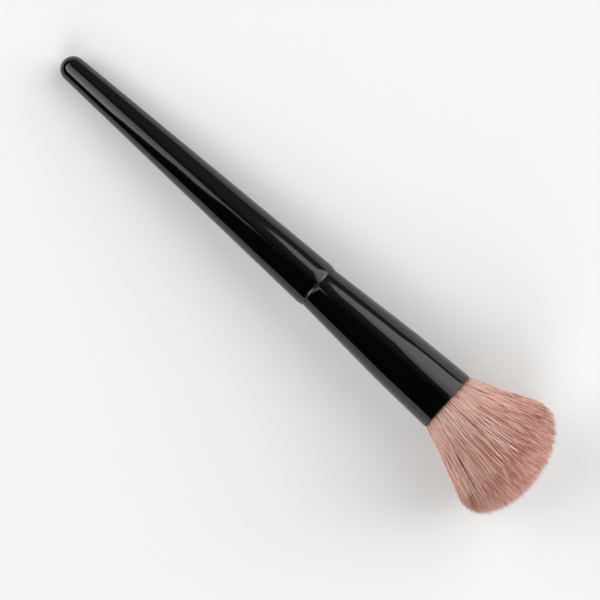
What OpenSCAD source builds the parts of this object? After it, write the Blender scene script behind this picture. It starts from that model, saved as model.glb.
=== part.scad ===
// Powder brush: a turned handle, a drawn metal ferrule and a domed tuft of fine filaments.
// It lies on a flat surface along +X, on the round tip of its handle and on the pressed side of its tuft.

/* [Handle] */
// Length of the handle from its round tip to its end face at the ferrule
handle_l = 107; // [80:0.1:140]
// Diameter of the handle's round tip
tip_d = 8.3; // [5:0.1:11]
// Diameter that the taper reaches at the shoulder
handle_d = 15.4; // [14:0.1:18]
// How far the taper swells outside a straight cone, halfway along
handle_swell = 0.02; // [0:0.01:0.6]
// Length over which the shoulder rounds in
shoulder_l = 2.5; // [0.5:0.1:6]
// Depth by which the shoulder rounds in
shoulder_drop = 0.5; // [0.2:0.05:1.2]
// Length of the tenon inside the ferrule
tenon_l = 15; // [8:0.5:22]
// Chamfer on the tenon's end
tenon_chamfer = 0.8; // [0.2:0.1:2]

/* [Ferrule] */
// Length of the ferrule
ferrule_l = 52.4; // [45:0.1:70]
// Wall thickness of the ferrule
ferrule_wall = 0.45; // [0.3:0.05:0.8]
// Outside diameter at the neck, beside the handle
neck_d = 14.5; // [11:0.1:15]
// Outside diameter at the knee, where the flare eases
knee_d = 18.9; // [15:0.1:20]
// Distance from the neck to the knee
knee_l = 31.8; // [20:0.1:40]
// Length over which the knee is blended
knee_blend = 5; // [1:0.5:10]
// Outside diameter at the mouth
mouth_d = 20.5; // [18.6:0.1:24]
// Gap between the handle's end face and the ferrule's neck
seam_gap = 0.15; // [0.1:0.05:1]

/* [Tuft] */
// Length of the tuft outside the ferrule, to the top of its dome
tuft_l = 35.4; // [26:0.1:50]
// Widest diameter of the tuft
tuft_d = 39.4; // [28:0.1:50]
// Height of the dome above the tuft's widest ring
dome_h = 11.5; // [6:0.1:18]
// Angle past the widest ring at which the straight side meets the dome's curve
side_angle = 12; // [6:1:30]
// How far the tuft's widest ring leans to the -Y side
tuft_lean = 0.5; // [0:0.1:3]
// How much farther the tuft reaches on its -Y side than along its middle
tuft_skew = 1.3; // [0:0.1:3]
// Depth by which the lying tuft is pressed flat
press_depth = 1.2; // [0.6:0.1:3]
// Length of the filaments' root inside the ferrule
root_l = 22; // [16:0.5:26]
// Number of locks that the filaments gather into round the outside
locks = 72; // [36:2:80]
// Depth of the grooves between locks
lock_depth = 0.7; // [0.1:0.05:1.2]
// Unevenness of the filaments' ends on the dome
tip_scatter = 0.5; // [0:0.05:0.8]

/* [Binding and adhesive] */
// Thickness of the binding thread
thread_d = 0.5; // [0.3:0.1:0.9]
// Turns of the binding thread round the root
thread_turns = 6; // [3:1:9]
// Distance from the root's butt end to the first turn
thread_start = 6; // [3:0.5:8]
// Length of the resin plug behind the root
plug_l = 7; // [3:0.5:9]
// Depth of the hollow in the plug's back face
plug_hollow = 1.5; // [0.5:0.1:2.5]
// Thickness of the adhesive between the tenon and the neck
glue_film = 0.15; // [0.1:0.05:0.4]

/* [Hidden] */
$fn = 128;

// Clearance between pieces that are glued or packed together
fit = 0.03;
// How far the edges of a lock wander from even spacing, as a share of half a lock
lock_wander = 0.6;
// The shallowest groove between locks, as a share of the deepest
groove_least = 0.3;
// Straight steps in the ferrule's knee
knee_steps = 4;

// Stations along the brush's own axis, from the round tip
ferrule_at = handle_l + seam_gap;
mouth_at = ferrule_at + ferrule_l;
top_at = mouth_at + tuft_l;
root_at = mouth_at - root_l;
plug_at = root_at - plug_l;
tenon_end = ferrule_at + tenon_l;
ring_at = top_at - dome_h;

tip_r = tip_d / 2;
handle_r = handle_d / 2;
tuft_r = tuft_d / 2;
tenon_r = neck_d / 2 - ferrule_wall - glue_film;
edge_round = ferrule_wall / 3;

// The brush lies on its tip and its tuft: the floor touches the tip's sphere, and runs press_depth
// inside the tuft's widest ring
rest_reach = norm([ring_at - tip_r, tuft_r]);
rest_tilt = atan2(tuft_r, ring_at - tip_r) - asin((press_depth + tip_r) / rest_reach);
rest_lift = tip_r * (1 - sin(rest_tilt));
rest_back = tip_r * (cos(rest_tilt) - 1);
rest_front = ring_at * cos(rest_tilt)
    + norm([norm([dome_h, tuft_skew]) * cos(rest_tilt), tuft_r * sin(rest_tilt)]);
rest_centre = (rest_back + rest_front) / 2;

// A point of the standing brush, with its axis along Z, as it is when the brush lies at rest
function lie(p) = [
    p[0] * sin(rest_tilt) + p[2] * cos(rest_tilt) - rest_centre,
    p[1] + tuft_lean,
    p[2] * sin(rest_tilt) - p[0] * cos(rest_tilt) + rest_lift
];

// The same move for a whole piece
module lie() {
    translate([-rest_centre, tuft_lean, rest_lift]) rotate([0, 90 - rest_tilt, 0]) children();
}

// Repeatable scatter from 0 to 1 for a whole number
function scatter(n) = let (v = sin(n * 127.1) * 4375.85) v - floor(v);

// Rises smoothly from 0 to 1 as t goes from 0 to 1
function ease(t) = let (c = min(1, max(0, t))) c * c * (3 - 2 * c);

// Radius of the handle's taper at a station z
function taper_r(z) =
    let (t = (z - tip_r) / (handle_l - shoulder_l - tip_r))
    tip_r + (handle_r - tip_r) * t + 4 * handle_swell * t * (1 - t);

// Outside radius of the ferrule at a distance u from its neck
function ferrule_r(u) =
    let (
        rise = (knee_d - neck_d) / 2 / knee_l,
        ease_rise = (mouth_d - knee_d) / 2 / (ferrule_l - knee_l),
        in_blend = min(knee_blend, max(0, u - knee_l + knee_blend / 2)),
        past_blend = max(0, u - knee_l - knee_blend / 2)
    )
    neck_d / 2 + rise * u
    + (ease_rise - rise) * (in_blend * in_blend / (2 * knee_blend) + past_blend);

// Inside radius of the ferrule at a station z
function bore_r(z) = ferrule_r(z - ferrule_at) - ferrule_wall;

// Distances from the neck at which the ferrule's outline changes
ferrule_steps = concat(
    [edge_round],
    [for (i = [0:knee_steps]) knee_l + knee_blend * (i / knee_steps - 0.5)],
    [ferrule_l - edge_round]
);

// The bore's outline between two stations, inside it by the fit
function bore_outline(from, to) = [
    for (z = concat(
        [from],
        [for (u = ferrule_steps) if (u + ferrule_at > from && u + ferrule_at < to) u + ferrule_at],
        [to]
    )) [bore_r(z) - fit, z]
];

module handle() {
    arc_steps = 14;
    taper_steps = 12;
    round_steps = 8;
    shoulder_at = handle_l - shoulder_l;
    outline = concat(
        [for (i = [0:arc_steps - 1]) let (a = 90 * i / arc_steps) [tip_r * sin(a), tip_r * (1 - cos(a))]],
        [for (i = [0:taper_steps])
            let (z = tip_r + (shoulder_at - tip_r) * i / taper_steps) [taper_r(z), z]],
        [for (i = [1:round_steps])
            let (a = 90 * i / round_steps)
            [handle_r - shoulder_drop * (1 - cos(a)), shoulder_at + shoulder_l * sin(a)]],
        [
            [tenon_r, handle_l],
            [tenon_r, tenon_end - tenon_chamfer],
            [tenon_r - tenon_chamfer, tenon_end],
            [0, tenon_end]
        ]
    );
    color([0.03, 0.03, 0.03]) lie() rotate_extrude() polygon(outline);
}

// Adhesive that fills the flaring space between the straight tenon and the ferrule
module tenon_adhesive() {
    outline = concat(
        [[tenon_r + fit, tenon_end - tenon_chamfer], [tenon_r + fit, ferrule_at + edge_round]],
        bore_outline(ferrule_at + edge_round, tenon_end - tenon_chamfer)
    );
    color([0.85, 0.8, 0.6]) lie() rotate_extrude() polygon(outline);
}

module ferrule() {
    outside = [for (u = ferrule_steps) [ferrule_r(u), u + ferrule_at]];
    outline = concat(
        [[ferrule_r(0) - edge_round, ferrule_at]],
        outside,
        [
            [ferrule_r(ferrule_l) - edge_round, mouth_at],
            [ferrule_r(ferrule_l) - ferrule_wall + edge_round, mouth_at]
        ],
        [for (i = [len(outside) - 1:-1:0]) outside[i] - [ferrule_wall, 0]],
        [[ferrule_r(0) - ferrule_wall + edge_round, ferrule_at]]
    );
    color([0.04, 0.04, 0.04]) lie() rotate_extrude() polygon(outline);
}

// Cast resin behind the filaments' butt ends, with the hollow that its meniscus leaves
module root_resin() {
    hollow_steps = 6;
    hollow_r = bore_r(plug_at) - fit;
    outline = concat(
        [[0, root_at - fit]],
        [for (i = [0:hollow_steps - 1])
            let (a = 90 * i / hollow_steps) [hollow_r * sin(a), plug_at + plug_hollow * cos(a)]],
        bore_outline(plug_at, root_at - fit)
    );
    color([0.8, 0.7, 0.45]) lie() rotate_extrude() polygon(outline);
}

// Thread wound side by side round the root, in the waist that it pulls
module binding_thread() {
    bead_steps = 6;
    inner_r = waist_r();
    thread_r = thread_d / 2;
    outline = concat(
        [[inner_r, thread_at(thread_turns)], [inner_r, thread_at(0)]],
        [for (turn = [0:thread_turns - 1])
            for (i = [0:bead_steps - 1])
                let (a = 180 * i / bead_steps)
                [inner_r + thread_r + thread_r * sin(a), thread_at(turn) + thread_r * (1 - cos(a))]],
        [[inner_r + thread_r, thread_at(thread_turns)]]
    );
    color([0.9, 0.88, 0.82]) lie() rotate_extrude() polygon(outline);
}

// Station where a turn of the binding thread begins
function thread_at(turn) = root_at + thread_start + turn * thread_d;

// Radius of the waist under the binding thread, which then just clears the bore at both its ends
function waist_r() = min(bore_r(thread_at(0)), bore_r(thread_at(thread_turns))) - thread_d - 2 * fit;

// Rings of the tuft from its butt end to its dome: radius, station, how deep its locks are, and how
// far they cut along the axis
function tuft_rings() =
    let (
        side_steps = 8,
        dome_steps = 10,
        side_end = 90 + side_angle,
        side_r = tuft_r * sin(side_end),
        side_z = ring_at + dome_h * cos(side_end),
        lip_r = bore_r(mouth_at) + ferrule_wall / 2,
        lip_z = mouth_at + ferrule_wall
    )
    concat(
        [for (p = bore_outline(root_at, thread_at(0) - thread_d)) [p[0], p[1], 0, 0]],
        [for (z = [thread_at(0) - fit, thread_at(thread_turns) + fit]) [waist_r() - fit, z, 0, 0]],
        [for (p = bore_outline(thread_at(thread_turns + 1), mouth_at)) [p[0], p[1], 0, 0]],
        [for (i = [0:side_steps - 1])
            let (t = i / side_steps)
            [lip_r + (side_r - lip_r) * t, lip_z + (side_z - lip_z) * t, min(1, 2 * t), 0]],
        [for (i = [0:dome_steps - 1])
            let (a = side_end * (1 - i / dome_steps))
            [tuft_r * sin(a), ring_at + dome_h * cos(a), min(1, sin(a)), max(0, cos(a))]]
    );

// How far step i round the tuft lies inside its outline: odd steps are the grooves between locks,
// and the locks' own backs are only a little uneven
function lock_inset(i) =
    lock_depth * (i % 2 == 1
        ? groove_least + (1 - groove_least) * scatter(i + 3)
        : groove_least * scatter(i + 3));

// A point of the tuft: ring j, step i round it
function tuft_point(ring, j, i) =
    let (
        a = 360 * (i + lock_wander * (scatter(i) - 0.5)) / (2 * locks),
        reach = min(1, max(0, (ring[1] - mouth_at) / (ring_at - mouth_at))),
        inset = lock_inset(i) * ring[2],
        short_end = tip_scatter * ring[2] * ring[3] * scatter(i * 31 + j * 17),
        r = ring[0] - inset,
        z = ring[1] - inset * ring[3] - short_end - tuft_skew * reach * sin(a) * r / tuft_r,
        p = lie([r * cos(a), r * sin(a) - tuft_lean * ease(reach), z])
    )
    [p[0], p[1], max(0, p[2])];

// The bundle of filaments: bound and glued at its root, fanning out of the ferrule into a dome
module bristle_tuft() {
    rings = tuft_rings();
    steps = 2 * locks;
    count = len(rings);
    points = concat(
        [for (j = [0:count - 1]) for (i = [0:steps - 1]) tuft_point(rings[j], j, i)],
        [lie([0, 0, root_at]), lie([0, -tuft_lean, top_at])]
    );
    faces = concat(
        [for (j = [0:count - 2]) for (i = [0:steps - 1])
            for (half = [0, 1])
                let (a = j * steps + i, b = j * steps + (i + 1) % steps)
                half == 0 ? [a, a + steps, b] : [b, a + steps, b + steps]],
        [for (i = [0:steps - 1]) [count * steps, i, (i + 1) % steps]],
        [for (i = [0:steps - 1])
            let (last = (count - 1) * steps) [count * steps + 1, last + (i + 1) % steps, last + i]]
    );
    color([0.78, 0.56, 0.5]) polyhedron(points, faces);
}

handle();
tenon_adhesive();
ferrule();
root_resin();
binding_thread();
bristle_tuft();
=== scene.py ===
"""A powder brush, lying on a pale floor as it comes to rest, seen from above.

The sections follow the brush as it is put together: the bundle of filaments, its binding, the resin
at its root, the ferrule, the adhesive, the handle, and then the floor, the lamps and the camera.
"""
import math

import bpy
import numpy as np
from mathutils import Matrix, Vector


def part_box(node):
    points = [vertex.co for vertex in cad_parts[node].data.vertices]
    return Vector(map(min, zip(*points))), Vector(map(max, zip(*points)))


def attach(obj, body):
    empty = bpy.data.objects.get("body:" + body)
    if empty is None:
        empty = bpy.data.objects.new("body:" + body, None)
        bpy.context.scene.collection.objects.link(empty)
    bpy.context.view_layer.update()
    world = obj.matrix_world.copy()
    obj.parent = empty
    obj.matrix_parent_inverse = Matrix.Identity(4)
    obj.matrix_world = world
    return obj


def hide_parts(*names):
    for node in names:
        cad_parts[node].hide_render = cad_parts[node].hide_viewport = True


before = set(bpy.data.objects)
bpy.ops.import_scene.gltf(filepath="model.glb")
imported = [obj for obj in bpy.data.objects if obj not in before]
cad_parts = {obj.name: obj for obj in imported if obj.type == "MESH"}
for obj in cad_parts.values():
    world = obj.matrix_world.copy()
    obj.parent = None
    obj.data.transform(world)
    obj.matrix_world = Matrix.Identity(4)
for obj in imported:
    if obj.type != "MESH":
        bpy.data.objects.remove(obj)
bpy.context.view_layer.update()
bpy.ops.object.select_all(action="DESELECT")


# Tuft core
# The middle of the bundle, where the filaments press together so closely that only a streaked mass of
# them shows between the locks. It is coloured darker than the filaments, as painted shade deep among
# them. It is bound and cast into the ferrule with all the rest.

# Sizes along the brush's axis are measured from the round tip of the handle, in metres
TIP_RADIUS = 0.00415
MOUTH = 0.15955
TUFT_LENGTH = 0.0354
TUFT_RADIUS = 0.0197
DOME_HEIGHT = 0.0115
DOME_START = math.radians(102)
RING = MOUTH + TUFT_LENGTH - DOME_HEIGHT
ROOT_RADIUS = 0.0093
# How far the tuft's ring leans and splays to the -Y side, and how much farther the tuft reaches there
LEAN = 0.0005
SPLAY = 0.0004
SKEW = 0.0011
FLOOR_CLEARANCE = 0.00006
# How deep the core lies inside the tuft's outline, inside the bundle's root and inside the mouth
CORE_DEPTH = 0.0019
CORE_ROOT_DEPTH = 0.0006
CORE_BUTT_DEPTH = 0.004
CORE_ROWS = 16
TURNING_STEPS = 128
MERGE_DISTANCE = 0.000002
SMOOTH_ANGLE = math.radians(35)
FILAMENT_GLOSS = 0.08

# The handle's tip is a ball and the binding is a ring, so the line through their middles is the axis
handle_low, handle_high = (Vector(corner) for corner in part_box("handle"))
binding_low, binding_high = (Vector(corner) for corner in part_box("binding_thread"))
binding_middle = (binding_low + binding_high) / 2
ball = Vector((handle_low.x + TIP_RADIUS, binding_middle.y, TIP_RADIUS))
axis = (binding_middle - ball).normalized()
tilt = math.asin(axis.z)
lying = Matrix.Translation(ball - axis * TIP_RADIUS) @ Matrix.Rotation(math.pi / 2 - tilt, 4, "Y")


def turn_piece(name, outline, closed=False):
    """Turns an outline of (radius, station) about the upright axis, as on a lathe."""
    bpy.ops.object.select_all(action="DESELECT")
    bpy.ops.mesh.primitive_plane_add(size=0.01, location=(0, 0, 0))
    piece = bpy.context.object
    piece.name = piece.data.name = name
    bpy.ops.object.mode_set(mode="EDIT")
    bpy.ops.mesh.select_mode(type="VERT")
    bpy.ops.mesh.merge(type="CENTER")
    points = [Vector((radius, 0, station)) for radius, station in outline]
    bpy.ops.transform.translate(value=points[0])
    for start, end in zip(points, points[1:]):
        bpy.ops.mesh.extrude_vertices_move(TRANSFORM_OT_translate={"value": end - start})
    if closed:
        bpy.ops.mesh.extrude_vertices_move(TRANSFORM_OT_translate={"value": points[0] - points[-1]})
    bpy.ops.mesh.select_all(action="SELECT")
    bpy.ops.mesh.spin(steps=TURNING_STEPS, angle=2 * math.pi, center=(0, 0, 0), axis=(0, 0, 1))
    bpy.ops.mesh.select_all(action="SELECT")
    bpy.ops.mesh.remove_doubles(threshold=MERGE_DISTANCE)
    bpy.ops.mesh.normals_make_consistent(inside=False)
    bpy.ops.object.mode_set(mode="OBJECT")
    bpy.ops.object.shade_smooth_by_angle(angle=SMOOTH_ANGLE)
    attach(piece, "root")
    return piece


def settle(points):
    """Lays points of the upright tuft down with the brush, skewed as it has set and pressed flat below."""
    reach = np.clip((points[..., 2] - MOUTH) / (RING - MOUTH), 0, 1)
    set_points = points.copy()
    set_points[..., 1] -= LEAN * reach**2 * (3 - 2 * reach)
    set_points[..., 1] -= SPLAY * reach**4 * np.clip(-points[..., 1] / TUFT_RADIUS, 0, 1) ** 2
    set_points[..., 2] -= SKEW * reach * points[..., 1] / TUFT_RADIUS
    laid = set_points @ np.array(lying.to_3x3()).T + np.array(lying.translation)
    laid[..., 2] = np.maximum(laid[..., 2], FLOOR_CLEARANCE)
    return laid


def new_material(name):
    """Gives a material with its shader and its node tree."""
    material = bpy.data.materials.new(name)
    material.use_nodes = True
    return material, material.node_tree.nodes["Principled BSDF"], material.node_tree


def feed(tree, node, sockets):
    """Sets a node's sockets, by name or number, to values, or links them to other nodes' outputs."""
    for name, value in sockets.items():
        if isinstance(value, bpy.types.NodeSocket):
            tree.links.new(value, node.inputs[name])
        else:
            node.inputs[name].default_value = value


def add_node(tree, kind, sockets, operation=None):
    """A new shader node, fed with these sockets."""
    node = tree.nodes.new("ShaderNode" + kind)
    if operation:
        node.operation = operation
    feed(tree, node, sockets)
    return node


def add_shades(tree, value, stops):
    """Colours for a value, by (position, colour) stops."""
    ramp = add_node(tree, "ValToRGB", {"Fac": value})
    elements = ramp.color_ramp.elements
    while len(elements) < len(stops):
        elements.new(0.5)
    for element, (position, colour) in zip(elements, stops):
        element.position = position
        element.color = (*colour, 1)
    return ramp.outputs["Color"]


def add_range(tree, value, low, high, from_low=0.0, from_high=1.0):
    """A value mapped to the range from low to high."""
    ends = {"From Min": from_low, "From Max": from_high, "To Min": low, "To Max": high}
    return add_node(tree, "MapRange", {"Value": value, **ends}).outputs["Result"]


def add_place(tree, scale, turn):
    """Places on the brush, scaled and turned, for a pattern to follow."""
    place = add_node(tree, "TexCoord", {}).outputs["Object"]
    return add_node(tree, "Mapping", {"Vector": place, "Rotation": turn, "Scale": scale}).outputs["Vector"]


def add_noise(tree, place, scale, detail):
    """Values of a cloudy pattern."""
    return add_node(tree, "TexNoise", {"Vector": place, "Scale": scale, "Detail": detail}).outputs["Fac"]


def add_cells(tree, place, scale):
    """Distances from the middles of small round cells."""
    return add_node(tree, "TexVoronoi", {"Vector": place, "Scale": scale}).outputs["Distance"]


def add_relief(tree, height, distance, strength=1.0, invert=False):
    """Normals of a surface that rises with height, or dips with it where inverted."""
    bump = add_node(tree, "Bump", {"Height": height, "Distance": distance, "Strength": strength})
    bump.invert = invert
    return bump.outputs["Normal"]


core_radius = TUFT_RADIUS - CORE_DEPTH
core_height = DOME_HEIGHT - CORE_DEPTH
core_root = ROOT_RADIUS - CORE_ROOT_DEPTH
core_butt = MOUTH - CORE_BUTT_DEPTH
core_outline = [(0, core_butt), (core_root, core_butt), (core_root, MOUTH)]
for i in range(CORE_ROWS + 1):
    angle = DOME_START * (1 - i / CORE_ROWS)
    core_outline.append((core_radius * math.sin(angle), RING + core_height * math.cos(angle)))
tuft_core = turn_piece("tuft_core", core_outline)
core_mesh = tuft_core.data
core_points = np.empty(len(core_mesh.vertices) * 3)
core_mesh.vertices.foreach_get("co", core_points)
core_points = core_points.reshape(-1, 3)
core_mesh.vertices.foreach_set("co", settle(core_points).reshape(-1))

# Across the bundle the imported filaments show as dots, lighter in their middles with painted shade
# between them, and along it as streaks
painted_core_shade, shader, tree = new_material("filaments_painted_in_shade")
place = add_place(tree, scale=(0.2, 1, 1), turn=(0, tilt, 0))
dots = add_cells(tree, place, 3200)
# Painted shade: the dots darken from their middles to their edges, where the filaments meet
dots_with_painted_shade = add_shades(tree, dots, [
    (0.15, (0.88, 0.53, 0.44)),
    (0.5, (0.68, 0.35, 0.28)),
    (0.8, (0.42, 0.17, 0.13)),
])
clumps = add_range(tree, add_noise(tree, place, 700, 2), 0.75, 1.15, 0.3, 0.7)
shaded = add_node(tree, "VectorMath", {"Vector": dots_with_painted_shade, "Scale": clumps}, "SCALE")
feed(tree, shader, {
    "Base Color": shaded.outputs["Vector"],
    "Roughness": add_range(tree, dots, 0.45, 0.7),
    "Specular IOR Level": FILAMENT_GLOSS,
    "Normal": add_relief(tree, dots, 0.0002, 0.7, invert=True),
})
tuft_core.data.materials.append(painted_core_shade)
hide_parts("bristle_tuft")


# Filaments
# Fine tapered synthetic filaments, straight from the root and drawn together in slender locks.
# Those round the outside show at full length, and those within show only their ends, in the dome.

FILAMENT_RADIUS = 0.00008
RADIUS_SPREAD = 0.2
TIP_SHARE = 0.35
TAPER_START = 0.6
# How far inside the mouth the filaments' lines begin
BUTT_DEPTH = 0.0006
# The distance between the locks' ends and the share of it that they are nudged by, the locks' own
# radius, and how far apart the two filaments of each pair in them lie
LOCK_SPACING = 0.00062
LOCK_NUDGE = 0.22
LOCK_RADIUS = 0.00024
PAIR_PITCH = 0.00012
# The outer share of the tuft's radius whose locks are made whole, and the length of the others' ends
SIDE_DEPTH = 0.17
SIDE_EACH = 12
SIDE_STATIONS = 7
SIDE_PIECES = 4
DOME_SHOWN = 0.008
DOME_EACH = 10
DOME_STATIONS = 3
DOME_PIECES = 3
# How many radians the outline turns on down the side for each unit that a place lies past the rim
TURN_PAST_RIM = 5
# How much the locks, and the filaments in them, differ in length. A share of them stand out further
LOCK_LONGER = 0.00035
OWN_LONGER = 0.0003
LOCK_POINT = 0.0003
STRAY_LONGER = 0.0005
STRAY_SHARE = 0.25
# How far a lock sinks in the tuft's waist, rises and wanders, and in how many waves. Near its root it
# does so less
WAIST = 0.00025
LOCK_RISE = 0.00011
RISE_WAVES = 2.2
LOCK_WANDER = 0.00005
WANDER_WAVES = 0.8
PAIR_WANDER = 0.0001
ROOT_SHARE = 0.2
# A filament's tone, from 0, dark, to 1, light, picks its strip of the map. Tones differ at random, and
# the dark ones are painted shade between filaments, the lightest painted sheen. Each of a filament's
# three sides is a fifth of the strip wide, and its root lies up to the shift from the strip's end
TONES = 48
STRIP_SIDE = 0.2
MAP_SHIFT = 0.16
DARK_TONES = (0.05, 0.35)
LIGHT_SPAN = 0.34
# A direction in which no filament runs
ASKEW = np.array([0.13, 0.41, 0.9])
GOLDEN_TURN = math.pi * (3 - math.sqrt(5))

# On the filaments' map, u is a filament's tone, partly its own and partly painted shade and sheen, and
# v runs from root to tip
filament, shader, tree = new_material("dusty_pink_filament")
map_place = add_node(tree, "UVMap", {})
map_place.uv_map = "OFBake"
split = add_node(tree, "SeparateXYZ", {"Vector": map_place.outputs["UV"]})
# The darkest stop is painted shade between filaments, the lightest painted sheen
tones_and_painted_light = add_shades(tree, split.outputs["X"], [
    (0.0, (0.44, 0.16, 0.12)),
    (0.35, (0.74, 0.375, 0.295)),
    (0.75, (1.0, 0.65, 0.565)),
    (1.0, (1.0, 0.79, 0.715)),
])
# Along a filament: lighter at its root and darker towards its tip, as painted shade on the dome
along_painted_shade = add_shades(tree, split.outputs["Y"], [
    (0.0, (0.96, 1.0, 1.0)),
    (0.4, (0.97, 0.96, 0.95)),
    (0.72, (0.96, 0.91, 0.88)),
    (0.88, (0.84, 0.785, 0.76)),
])
both = add_node(tree, "VectorMath", {0: tones_and_painted_light, 1: along_painted_shade}, "MULTIPLY")
stretched = add_node(tree, "Mapping", {"Vector": map_place.outputs["UV"], "Scale": (TONES * 0.9, 14, 1)})
grain = add_noise(tree, stretched.outputs["Vector"], 1, 2)
streaks = add_range(tree, grain, 0.85, 1.06, 0.3, 0.7)
shaded = add_node(tree, "VectorMath", {"Vector": both.outputs["Vector"], "Scale": streaks}, "SCALE")
feed(tree, shader, {
    "Base Color": shaded.outputs["Vector"],
    "Roughness": add_range(tree, grain, 0.4, 0.55),
    "Specular IOR Level": FILAMENT_GLOSS,
})


def filament_faces(rows):
    """Faces of one three-sided filament, and where (side, row) their corners lie on its map."""
    quads, quad_map = [], []
    for row in range(rows - 1):
        for side in range(3):
            beside = (side + 1) % 3
            quads.append([row * 3 + side, row * 3 + beside, row * 3 + 3 + beside, row * 3 + 3 + side])
            quad_map.append([(side, row), (side + 1, row), (side + 1, row + 1), (side, row + 1)])
    last = rows * 3 - 3
    ends = [[last + side, last + (side + 1) % 3, rows * 3] for side in range(3)]
    end_map = [[(side, rows - 1), (side + 1, rows - 1), (side + 0.5, rows)] for side in range(3)]
    ends.append([0, 2, 1])
    end_map.append([(0, 0), (2, 0), (1, 0)])
    return quads, quad_map, ends, end_map


def filament_mesh(chance, name, line, radius, tone, share):
    """One mesh of filaments: line is (filament, station, xyz), radius and share (filament, station)."""
    count, stations, _ = line.shape
    laid = settle(line)
    run = np.diff(laid, axis=1, append=laid[:, -1:] * 2 - laid[:, -2:-1])
    run /= np.linalg.norm(run, axis=2, keepdims=True) + 1e-12
    across = np.cross(run, ASKEW)
    across /= np.linalg.norm(across, axis=2, keepdims=True)
    upright = np.cross(run, across)
    rim = []
    for side in range(3):
        angle = 2 * math.pi * side / 3
        offset = math.cos(angle) * across + math.sin(angle) * upright
        rim.append(laid + offset * radius[..., None])
    rim = np.stack(rim, axis=2)[:, :-1]
    rows = stations - 1
    points = np.concatenate([rim.reshape(count, rows * 3, 3), laid[:, -1:]], axis=1)
    points[..., 2] = np.maximum(points[..., 2], 0)

    quads, quad_map, ends, end_map = filament_faces(rows)
    first = (np.arange(count) * (rows * 3 + 1))[:, None, None]
    quad_faces = (first + np.array(quads)).reshape(-1, 4)
    end_faces = (first + np.array(ends)).reshape(-1, 3)
    mesh = bpy.data.meshes.new(name)
    mesh.from_pydata(points.reshape(-1, 3), [], quad_faces.tolist() + end_faces.tolist())
    mesh.polygons.foreach_set("use_smooth", [True] * len(mesh.polygons))

    strip = np.floor(tone * TONES)[:, None, None]
    along = chance.uniform(0, MAP_SHIFT, (count, 1)) + (1 - MAP_SHIFT) * np.clip(share, 0, 1)

    def on_map(places):
        places = np.array(places, float)
        u = (strip + STRIP_SIDE + STRIP_SIDE * places[..., 0]) / TONES
        v = along[:, places[..., 1].astype(int)]
        return np.stack([u, v], axis=-1).reshape(-1)

    filament_map = mesh.uv_layers.new(name="OFBake")
    filament_map.data.foreach_set("uv", np.concatenate([on_map(quad_map), on_map(end_map)]))
    return mesh


def add_filaments(chance, name, line, radius, tone, share, pieces=1):
    """Makes the filaments one or more pieces, each a sector of the tuft."""
    order = np.argsort(np.arctan2(line[:, -1, 1], line[:, -1, 0]))
    for number, chosen in enumerate(np.array_split(order, pieces), start=1):
        own = line[chosen], radius[chosen], tone[chosen], share[chosen]
        mesh = filament_mesh(chance, f"{name}_{number}", *own)
        mesh.materials.append(filament)
        piece = bpy.data.objects.new(mesh.name, mesh)
        bpy.context.collection.objects.link(piece)
        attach(piece, "root")
        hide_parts("bristle_tuft")


def in_root(way, share):
    """Where filaments begin, for directions from the axis and shares of the root's radius."""
    return np.column_stack([way * share[:, None] * ROOT_RADIUS, np.full(len(way), MOUTH - BUTT_DEPTH)])


def on_dome(places):
    """Where filaments end, for places on the unit disc: past its rim they end down the side."""
    share = np.linalg.norm(places, axis=1)
    past_rim = math.pi / 2 + (share - 1) * TURN_PAST_RIM
    angle = np.where(share < 1, np.arcsin(np.minimum(share, 1)), past_rim)
    angle = np.minimum(angle, DOME_START)
    way = places / np.maximum(share, 1e-6)[:, None]
    radius = TUFT_RADIUS * np.sin(angle)
    return np.column_stack([way * radius[:, None], RING + DOME_HEIGHT * np.cos(angle)])


def mixed_tones(chance, count, light_share, lowest):
    """Tones of which a share is light, from lowest up, and the others are dark, for painted shade."""
    light = chance.uniform(0, 1, count) < light_share
    light_tones = chance.uniform(lowest, lowest + LIGHT_SPAN, count)
    return np.where(light, light_tones, chance.uniform(*DARK_TONES, count))


def shift(line, way, lift, aside):
    """Moves the filaments' lines outward by lift and round the axis by aside."""
    outward = way[:, None]
    sideways = np.stack([-outward[..., 1], outward[..., 0]], axis=-1)
    line[..., :2] += outward * lift[..., None] + sideways * aside[..., None]


def lock_width(share):
    """How wide a lock is: gathered at its root, fullest past its middle and drawn in at its tip."""
    gathered, fuller, drawn_in = 0.62, 0.5, 0.2
    within = np.clip(share, 0, 1)
    return LOCK_RADIUS * (gathered + fuller * np.sin(math.pi * within**1.2) - drawn_in * within**6)


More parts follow.
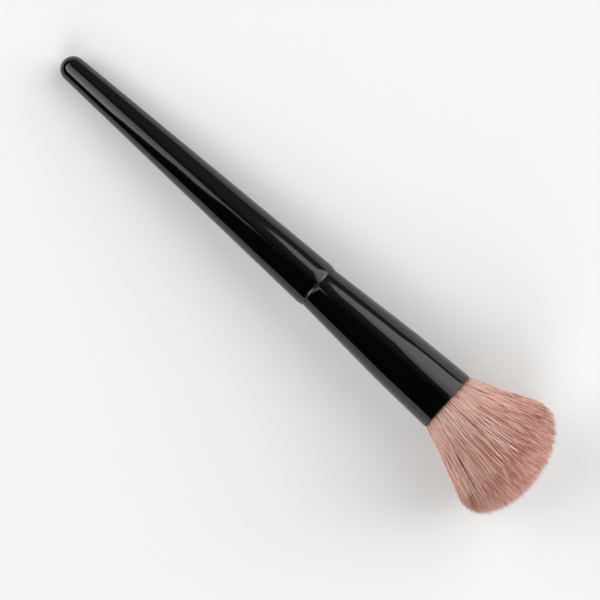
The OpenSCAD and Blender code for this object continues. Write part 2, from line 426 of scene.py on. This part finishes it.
def grow(chance, locks, each, stations, shown=None):
    """Filaments of the locks: their lines, radii, tones and shares of the way from root to tip.

    The ends of the locks are places on the unit disc. shown is how much of the filaments' ends is made.
    """
    lock = np.repeat(np.arange(len(locks)), each)
    count = len(lock)
    pair = np.arange(count) // 2
    pairs = count // 2
    from_axis = np.linalg.norm(locks, axis=1)
    way = locks / np.maximum(from_axis, 1e-6)[:, None]
    root = in_root(way, np.minimum(from_axis, 1))
    end = on_dome(locks)
    length = np.linalg.norm(end - root, axis=1)[lock]
    bearing = chance.uniform(0, 2 * math.pi, pairs)[pair]
    out = np.sqrt(chance.uniform(0, 1, pairs))[pair]
    longer = chance.normal(0, LOCK_LONGER, len(locks))[lock] + chance.normal(0, OWN_LONGER, count)
    longer -= LOCK_POINT * out**2
    longer += chance.exponential(STRAY_LONGER, count) * (chance.uniform(0, 1, count) < STRAY_SHARE)
    start = np.zeros(count) if shown is None else 1 - shown / length
    share = start[:, None] + (1 + longer / length - start)[:, None] * np.linspace(0, 1, stations)
    line = root[lock][:, None] + (end - root)[lock][:, None] * share[..., None]

    def wave(height, waves):
        """A wave along each lock, with its own height and start."""
        own_height = chance.normal(0, height, len(locks))[lock][:, None]
        own_start = chance.uniform(0, 1, len(locks))[lock][:, None]
        return own_height * np.sin(2 * math.pi * (share * waves + own_start))

    # Each lock rises over its neighbours and dips under them again, and wanders a little sideways
    lift = wave(LOCK_RISE, RISE_WAVES)
    lift -= WAIST * np.sin(math.pi * np.clip(share, 0, 1))
    aside = wave(LOCK_WANDER, WANDER_WAVES)
    own_side = np.arange(count) % 2 - 0.5
    aside += chance.normal(0, PAIR_WANDER, (pairs, 1))[pair] * share + own_side[:, None] * PAIR_PITCH
    width = lock_width(share)
    lift += width * (out * np.cos(bearing))[:, None]
    aside += width * (out * np.sin(bearing))[:, None]
    ease = np.clip(share / ROOT_SHARE, 0, 1)
    shift(line, way[lock], lift * ease, aside * (0.5 + 0.5 * ease))

    size = FILAMENT_RADIUS * chance.uniform(1 - RADIUS_SPREAD, 1 + RADIUS_SPREAD, (count, 1))
    taper = np.clip((share - TAPER_START) / (1 - TAPER_START), 0, 1) ** 1.5
    radius = size * (1 - (1 - TIP_SHARE) * taper)
    # Nearly half the pairs are dark, as painted shade among the lighter ones
    tone = mixed_tones(chance, pairs, light_share=0.55, lowest=0.45)[pair]
    return line, radius, tone, share


# The locks' ends are spaced over the dome as seeds are in a flower head, and then nudged
chance = np.random.default_rng(7)
lock_count = int(math.pi * TUFT_RADIUS**2 / LOCK_SPACING**2)
lock_turn = np.arange(lock_count) * GOLDEN_TURN
lock_share = np.sqrt((np.arange(lock_count) + 0.5) / lock_count)
locks = np.column_stack([np.cos(lock_turn), np.sin(lock_turn)]) * lock_share[:, None]
locks += chance.normal(0, LOCK_NUDGE * LOCK_SPACING / TUFT_RADIUS, locks.shape)
outside_locks = np.linalg.norm(locks, axis=1) > 1 - SIDE_DEPTH
side = grow(chance, locks[outside_locks], SIDE_EACH, SIDE_STATIONS)
dome = grow(chance, locks[~outside_locks], DOME_EACH, DOME_STATIONS, DOME_SHOWN)
add_filaments(chance, "side_filaments", *side, SIDE_PIECES)
add_filaments(chance, "dome_filaments", *dome, DOME_PIECES)


# Strands
# Filaments that have come out of their locks and lie side by side over the others. On the tuft's side
# they show for a part of their length, spaced evenly round it, and in the dome they stand out a little.
# Most of them take light tones, as painted light on these uppermost filaments.

SIDE_STRANDS = 1150
DOME_STRANDS = 2000
STRAND_EACH = 2
STRAND_PITCH = 0.00012
STRAND_ROUNDING = 0.5
# Side strands: how they rise in their middles, and dip and thin at their ends, how long half of one is,
# where their lines and they themselves may end, their tones, and how unevenly they lie
STRAND_STATIONS = 5
STRAND_LIFT = 0.00022
STRAND_DIP = 1.8
STRAND_THINNING = 0.4
LEAST_HALF_LENGTH = 0.003
MOST_HALF_LENGTH = 0.0065
SIDE_ENDS = (0.99, 1.02)
LAST_SHARE = 1.005
SIDE_TONES = (0.38, 0.97)
REACH_NUDGE = 0.02
SIDE_TURN_NUDGE = 0.006
LIFT_NUDGE = 0.00005
ASIDE_NUDGE = 0.00004
# Dome strands: where their stations lie before the dome, and how far they stand out of it
DOME_STRAND_START = 0.005
DOME_STRAND_TAPER = 0.0015
LEAST_LONGER = 0.0002
MOST_LONGER = 0.0014
DOME_TURN_NUDGE = 0.01


def turned_ways(chance, count, nudge):
    """Directions from the axis, each turned on from the last by the golden angle and nudged."""
    turn = np.arange(count) * GOLDEN_TURN + chance.normal(0, nudge, count)
    return np.column_stack([np.cos(turn), np.sin(turn)])


def add_strands(chance, name, line, way, lift, aside, radius, tone, share):
    """Makes strands one piece, with their filaments side by side about the strands' middle lines."""
    lines = []
    for offset in (np.arange(STRAND_EACH) - (STRAND_EACH - 1) / 2) * STRAND_PITCH:
        own = line.copy()
        shift(own, way, lift - abs(offset) * STRAND_ROUNDING, aside + offset)
        lines.append(own)
    lines = np.concatenate(lines)
    radii = np.broadcast_to(FILAMENT_RADIUS * radius, lines.shape[:2])
    add_filaments(chance, name, lines, radii, np.tile(tone, STRAND_EACH), np.tile(share, (STRAND_EACH, 1)))


steps = np.linspace(-1, 1, STRAND_STATIONS)
order = (np.arange(SIDE_STRANDS) + 0.5) / SIDE_STRANDS
reach = np.sqrt(ROOT_RADIUS**2 + (TUFT_RADIUS**2 - ROOT_RADIUS**2) * order)
reach = (reach - ROOT_RADIUS) / (TUFT_RADIUS - ROOT_RADIUS) + chance.normal(0, REACH_NUDGE, SIDE_STRANDS)
way = turned_ways(chance, SIDE_STRANDS, SIDE_TURN_NUDGE)
strand_root = in_root(way, np.ones(SIDE_STRANDS))
run = on_dome(way * chance.uniform(*SIDE_ENDS, (SIDE_STRANDS, 1))) - strand_root
half = chance.uniform(LEAST_HALF_LENGTH, MOST_HALF_LENGTH, SIDE_STRANDS) / np.linalg.norm(run, axis=1)
reach = np.clip(reach, half, LAST_SHARE - half)
share = reach[:, None] + half[:, None] * steps
line = strand_root[:, None] + run[:, None] * share[..., None]
# The strands that begin at the mouth come out of it without a dip
at_mouth = (reach <= half)[:, None] & (steps < 0)
lift = STRAND_LIFT * (1 - STRAND_DIP * np.where(at_mouth, 0, steps**2)) - WAIST * np.sin(math.pi * share)
lift += chance.normal(0, LIFT_NUDGE, (SIDE_STRANDS, 1))
aside = chance.normal(0, ASIDE_NUDGE, (SIDE_STRANDS, 1)) * steps
radius = 1 - STRAND_THINNING * steps**4
# Mostly light tones, as painted light on the uppermost filaments
tone = chance.uniform(*SIDE_TONES, SIDE_STRANDS)
add_strands(chance, "side_strands", line, way, lift, aside, radius, tone, share)

place = np.sqrt((np.arange(DOME_STRANDS) + 0.5) / DOME_STRANDS)
way = turned_ways(chance, DOME_STRANDS, DOME_TURN_NUDGE)
strand_root = in_root(way, place)
run = on_dome(way * place[:, None]) - strand_root
length = np.linalg.norm(run, axis=1)
longer = chance.uniform(LEAST_LONGER, MOST_LONGER, DOME_STRANDS)
stations = 1 - DOME_STRAND_START / length, 1 - DOME_STRAND_TAPER / length, 1 + longer / length
share = np.stack(stations, axis=1)
line = strand_root[:, None] + run[:, None] * share[..., None]
level = np.zeros((DOME_STRANDS, 1))
radius = np.array([1, 1, TIP_SHARE])
# Mostly light tones, as painted light on the filaments that stand out of the dome
tone = mixed_tones(chance, DOME_STRANDS, light_share=0.65, lowest=0.65)
add_strands(chance, "dome_strands", line, way, level, level, radius, tone, share)


# Binding thread
# Waxed undyed thread, wound side by side round the bundle's root in the waist that it pulls. It
# holds the filaments together until they are cast into the ferrule.


def dress(node, material):
    """Gives a solid of the frame its finish."""
    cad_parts[node].data.materials.clear()
    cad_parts[node].data.materials.append(material)


thread, shader, tree = new_material("waxed_thread")
twist = add_place(tree, scale=(2, 1, 1), turn=(0.6, tilt, 0))
plies = add_node(tree, "TexWave", {"Vector": twist, "Scale": 900, "Distortion": 3, "Detail": 2})
ply = plies.outputs["Fac"]
thread_shades = add_shades(tree, ply, [
    (0.0, (0.50, 0.45, 0.36)),
    (0.6, (0.72, 0.69, 0.60)),
    (1.0, (0.80, 0.77, 0.70)),
])
feed(tree, shader, {
    "Base Color": thread_shades,
    "Roughness": add_range(tree, ply, 0.7, 0.5),
    "Normal": add_relief(tree, ply, 0.00005),
})
dress("binding_thread", thread)


# Root resin
# Clear amber resin, poured behind the filaments' butt ends, where it sets with a hollow in its face
# and a few small bubbles.

resin, shader, tree = new_material("amber_resin")
place = add_node(tree, "TexCoord", {}).outputs["Object"]
cloud = add_noise(tree, place, 220, 4)
bubbles = add_range(tree, add_cells(tree, place, 700), 0.0, 1.0, 0.1, 0.3)
resin_shades = add_shades(tree, cloud, [
    (0.3, (0.42, 0.26, 0.07)),
    (0.55, (0.58, 0.40, 0.15)),
    (0.8, (0.70, 0.56, 0.28)),
])
feed(tree, shader, {
    "Base Color": resin_shades,
    "Roughness": add_range(tree, cloud, 0.12, 0.3),
    "Normal": add_relief(tree, bubbles, 0.0001),
})
dress("root_resin", resin)


# Ferrule
# A drawn aluminium tube, flared from its neck to a knee and eased to its mouth, with a glossy black
# coating outside. It is pressed over the bundle from the neck, and holds the handle's tenon.

NECK = 0.10715
FERRULE_LENGTH = 0.0524
FERRULE_WALL = 0.00045
NECK_RADIUS = 0.00725
KNEE_RADIUS = 0.00945
MOUTH_RADIUS = 0.01025
KNEE = 0.0318
KNEE_BLEND = 0.005
LIP = FERRULE_WALL / 3
LIP_STEPS = 4
FERRULE_ROWS = 60
GLOSS_BLACK = (0.0012, 0.0012, 0.0012)
CLEAN_ROUGHNESS = 0.05
WIPED_ROUGHNESS = 0.14


def ferrule_radius(along):
    """Outside radius of the ferrule at a distance from its neck."""
    rise = (KNEE_RADIUS - NECK_RADIUS) / KNEE
    ease = (MOUTH_RADIUS - KNEE_RADIUS) / (FERRULE_LENGTH - KNEE)
    in_blend = min(KNEE_BLEND, max(0, along - KNEE + KNEE_BLEND / 2))
    past = max(0, along - KNEE - KNEE_BLEND / 2)
    return NECK_RADIUS + rise * along + (ease - rise) * (in_blend**2 / (2 * KNEE_BLEND) + past)


def lip_round(radius, station, start):
    """Points of a lip's small round, about its middle: a quarter turn, from start quarter turns on."""
    points = []
    for i in range(1, LIP_STEPS):
        angle = math.pi / 2 * (start + i / LIP_STEPS)
        points.append((radius + LIP * math.cos(angle), station + LIP * math.sin(angle)))
    return points


def lay_down(piece):
    """Lays an upright piece down along the brush's axis, and leaves its object at the origin."""
    piece.matrix_world = lying
    bpy.ops.object.transform_apply(location=True, rotation=True, scale=False)


outside = []
for i in range(FERRULE_ROWS + 1):
    along = LIP + (FERRULE_LENGTH - 2 * LIP) * i / FERRULE_ROWS
    outside.append((ferrule_radius(along), NECK + along))
inside = [(radius - FERRULE_WALL, station) for radius, station in reversed(outside)]
mouth_outer = outside[-1][0] - LIP, outside[-1][1]
mouth_inner = inside[0][0] + LIP, inside[0][1]
neck_inner = inside[-1][0] + LIP, inside[-1][1]
neck_outer = outside[0][0] - LIP, outside[0][1]
ferrule_outline = outside
ferrule_outline += lip_round(*mouth_outer, 0) + [(mouth_outer[0], mouth_outer[1] + LIP)]
ferrule_outline += [(mouth_inner[0], mouth_inner[1] + LIP)] + lip_round(*mouth_inner, 1)
ferrule_outline += inside
ferrule_outline += lip_round(*neck_inner, 2) + [(neck_inner[0], neck_inner[1] - LIP)]
ferrule_outline += [(neck_outer[0], neck_outer[1] - LIP)] + lip_round(*neck_outer, 3)
ferrule = turn_piece("ferrule_tube", ferrule_outline, closed=True)
lay_down(ferrule)


def gloss_film():
    """Node group of a glossy film: how its surface dips, and how flow, pin specks and wiping dull it."""
    group = bpy.data.node_groups.new("gloss_film", "ShaderNodeTree")
    group.interface.new_socket("Vector", in_out="INPUT", socket_type="NodeSocketVector")
    group.interface.new_socket("Height", in_out="OUTPUT", socket_type="NodeSocketFloat")
    group.interface.new_socket("Dullness", in_out="OUTPUT", socket_type="NodeSocketFloat")
    place = group.nodes.new("NodeGroupInput").outputs["Vector"]
    result = group.nodes.new("NodeGroupOutput")

    def combine(operation, first, second):
        return add_node(group, "Math", {0: first, 1: second}, operation).outputs["Value"]

    peel = combine("MULTIPLY", add_noise(group, place, 900, 2), 0.004)
    specks = combine("GREATER_THAN", add_noise(group, place, 2600, 0), 0.79)
    feed(group, result, {
        "Height": combine("ADD", add_noise(group, place, 75, 1), peel),
        "Dullness": combine("ADD", add_noise(group, place, 60, 3), specks),
    })
    return group


film = gloss_film()


def gloss_material(name, dent_depth, along):
    """Glossy black film over metal or wood. along is how far its marks are drawn out, as a scale."""
    material, shader, tree = new_material(name)
    marks = tree.nodes.new("ShaderNodeGroup")
    marks.node_tree = film
    feed(tree, marks, {"Vector": add_place(tree, scale=(along, 1, 1), turn=(0, tilt, 0))})
    dullness = marks.outputs["Dullness"]
    dulled_black = tuple(channel * 1.6 for channel in GLOSS_BLACK)
    feed(tree, shader, {
        "Base Color": add_shades(tree, dullness, [(0.3, GLOSS_BLACK), (1.0, dulled_black)]),
        "Roughness": add_range(tree, dullness, CLEAN_ROUGHNESS, WIPED_ROUGHNESS, 0.35, 1.4),
        "Normal": add_relief(tree, marks.outputs["Height"], dent_depth),
    })
    return material


ferrule.data.materials.append(gloss_material("black_gloss_coating", dent_depth=0.0004, along=0.5))
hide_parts("ferrule")


# Tenon adhesive
# Cream-coloured adhesive that fills the space between the handle's straight tenon and the flaring
# ferrule. It is spread on the tenon before the ferrule is pushed on.

glue, shader, tree = new_material("cream_adhesive")
smears = add_noise(tree, add_place(tree, scale=(0.25, 1, 1), turn=(0, tilt, 0)), 650, 5)
glue_shades = add_shades(tree, smears, [
    (0.3, (0.58, 0.47, 0.22)),
    (0.6, (0.66, 0.55, 0.31)),
    (0.8, (0.74, 0.66, 0.45)),
])
feed(tree, shader, {
    "Base Color": glue_shades,
    "Roughness": add_range(tree, smears, 0.25, 0.5),
    "Normal": add_relief(tree, smears, 0.00015),
})
dress("tenon_adhesive", glue)


# Handle
# A hardwood stick turned in one piece with its tenon: a round tip, a long straight taper and a small
# rounded shoulder. It is dipped in black lacquer and glued into the ferrule's neck.

HANDLE_LENGTH = 0.107
HANDLE_RADIUS = 0.0077
HANDLE_SWELL = 0.00002
SHOULDER_LENGTH = 0.0025
SHOULDER_DROP = 0.0005
TENON_RADIUS = 0.00665
TENON_LENGTH = 0.015
TENON_CHAMFER = 0.0008
TAPER_ROWS = 90
ROUND_ROWS = 14

shoulder = HANDLE_LENGTH - SHOULDER_LENGTH
tenon_end = NECK + TENON_LENGTH
handle_outline = [(0, 0)]
for i in range(1, ROUND_ROWS):
    angle = math.pi / 2 * i / ROUND_ROWS
    handle_outline.append((TIP_RADIUS * math.sin(angle), TIP_RADIUS * (1 - math.cos(angle))))
for i in range(TAPER_ROWS + 1):
    share = i / TAPER_ROWS
    radius = TIP_RADIUS + (HANDLE_RADIUS - TIP_RADIUS) * share + 4 * HANDLE_SWELL * share * (1 - share)
    handle_outline.append((radius, TIP_RADIUS + (shoulder - TIP_RADIUS) * share))
for i in range(1, ROUND_ROWS + 1):
    angle = math.pi / 2 * i / ROUND_ROWS
    radius = HANDLE_RADIUS - SHOULDER_DROP * (1 - math.cos(angle))
    handle_outline.append((radius, shoulder + SHOULDER_LENGTH * math.sin(angle)))
handle_outline += [
    (TENON_RADIUS, HANDLE_LENGTH),
    (TENON_RADIUS, tenon_end - TENON_CHAMFER),
    (TENON_RADIUS - TENON_CHAMFER, tenon_end),
    (0, tenon_end),
]
handle = turn_piece("handle_stick", handle_outline)
lay_down(handle)
handle.data.materials.append(gloss_material("black_lacquer", dent_depth=0.0005, along=0.4))
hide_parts("handle")


# Floor
# A plain pale floor. It isn't part of the brush. Far from the brush the camera sees it at the room's
# own pale level, so that it has no edge.

FLOOR_SIZE = 6.0
FADE_START = 0.2
FADE_END = 0.5
PALE_LEVEL = 0.9

bpy.ops.mesh.primitive_plane_add(size=FLOOR_SIZE, location=(0, 0, 0))
floor = bpy.context.object
floor.name = "floor"
floor_material, shader, tree = new_material("pale_floor")
feed(tree, shader, {"Base Color": (0.775, 0.787, 0.781, 1), "Roughness": 0.7, "Specular IOR Level": 0.15})
place = add_node(tree, "TexCoord", {}).outputs["Object"]
from_brush = add_node(tree, "VectorMath", {0: place}, "LENGTH").outputs["Value"]
far = add_range(tree, from_brush, 0.0, 1.0, FADE_START, FADE_END)
seen = add_node(tree, "LightPath", {}).outputs["Is Camera Ray"]
fade = add_node(tree, "Math", {0: far, 1: seen}, "MULTIPLY").outputs["Value"]
pale = add_node(tree, "Emission", {"Strength": PALE_LEVEL}).outputs["Emission"]
mixed = add_node(tree, "MixShader", {"Fac": fade, 1: shader.outputs["BSDF"], 2: pale})
feed(tree, tree.nodes["Material Output"], {"Surface": mixed.outputs["Shader"]})
floor.data.materials.append(floor_material)


# Lamps
# A tall soft window at the brush's +Y side, a broad level panel over its handle's tip, and two soft
# lamps past its tuft, which the gloss doesn't mirror. Between them the room is nearly dark.

WHITE = math.pi


def add_lamp(name, shape, size, place, radiance, dim=(1.0, 1.0), across=None):
    """A soft area lamp, dimmed towards one end. radiance is how bright it looks, where 1 is white.

    It faces the brush, with its height upright, or straight down where across gives its width's bearing.
    """
    light = bpy.data.lights.new(name, "AREA")
    light.shape = shape
    light.size, light.size_y = size
    area = size[0] * size[1] * (math.pi / 4 if shape == "ELLIPSE" else 1)
    light.energy = radiance * WHITE * area
    lamp = bpy.data.objects.new(name, light)
    bpy.context.collection.objects.link(lamp)
    if across is None:
        facing = (-Vector(place)).to_track_quat("-Z", "Y").to_matrix().to_4x4()
    else:
        facing = Matrix.Rotation(math.radians(across), 4, "Z")
    lamp.matrix_world = Matrix.Translation(place) @ facing
    light.use_nodes = True
    tree = light.node_tree
    on_lamp = add_node(tree, "NewGeometry", {}).outputs["Parametric"]
    height = add_node(tree, "SeparateXYZ", {"Vector": on_lamp}).outputs["Y"]
    feed(tree, tree.nodes["Emission"], {"Strength": add_range(tree, height, *dim)})


add_lamp("side_window", "ELLIPSE", (1.1, 1.56), (0.255, 0.816, 0.673), 2.2, dim=(1.0, 0.35, 0.6, 1.0))
panel_dim = (2.1, 0.55, 0.0, 1.0)
add_lamp("overhead_panel", "RECTANGLE", (1.3, 1.35), (-1.07, -0.43, 0.9), 2.4, dim=panel_dim, across=-18)
add_lamp("tuft_glow", "ELLIPSE", (0.7, 0.7), (0.72, 0.80, 0.45), 2.8)
add_lamp("tuft_fill", "ELLIPSE", (0.9, 0.9), (0.62, -0.70, 0.66), 2.8)

world = bpy.data.worlds.new("dim_room")
bpy.context.scene.world = world
world.use_nodes = True
tree = world.node_tree
bearing = add_node(tree, "TexCoord", {}).outputs["Generated"]
split = add_node(tree, "SeparateXYZ", {"Vector": bearing})
window_side = add_range(tree, split.outputs["Y"], 0.004, 0.2, -0.02, 0.5)
tuft_end = add_range(tree, split.outputs["X"], 0.0, 0.55, 0.12, 0.5)
room = add_node(tree, "Math", {0: window_side, 1: tuft_end}, "ADD").outputs["Value"]
seen = add_node(tree, "LightPath", {}).outputs["Is Camera Ray"]
level = add_node(tree, "Mix", {"Factor": seen, "A": room, "B": PALE_LEVEL}).outputs["Result"]
feed(tree, tree.nodes["Background"], {"Color": (1, 1, 1, 1), "Strength": level})


# Camera
# It looks straight down on the brush, turned so that the handle comes from the upper left.

VIEW_TURN = math.radians(41.69)
CAMERA_DISTANCE = 0.513
VIEW_STATION = 0.10532
VIEW_ASIDE = -0.00675
LENS = 100
SENSOR_WIDTH = 36

aimed = ball + axis * (VIEW_STATION - TIP_RADIUS) + Vector((0, VIEW_ASIDE, 0))
camera_data = bpy.data.cameras.new("camera")
camera_data.lens = LENS
camera_data.sensor_width = SENSOR_WIDTH
camera = bpy.data.objects.new("camera", camera_data)
bpy.context.collection.objects.link(camera)
camera.location = aimed + Vector((0, 0, CAMERA_DISTANCE))
camera.rotation_euler = (0, 0, VIEW_TURN)
bpy.context.scene.camera = camera
bpy.context.scene.view_settings.view_transform = "Standard"
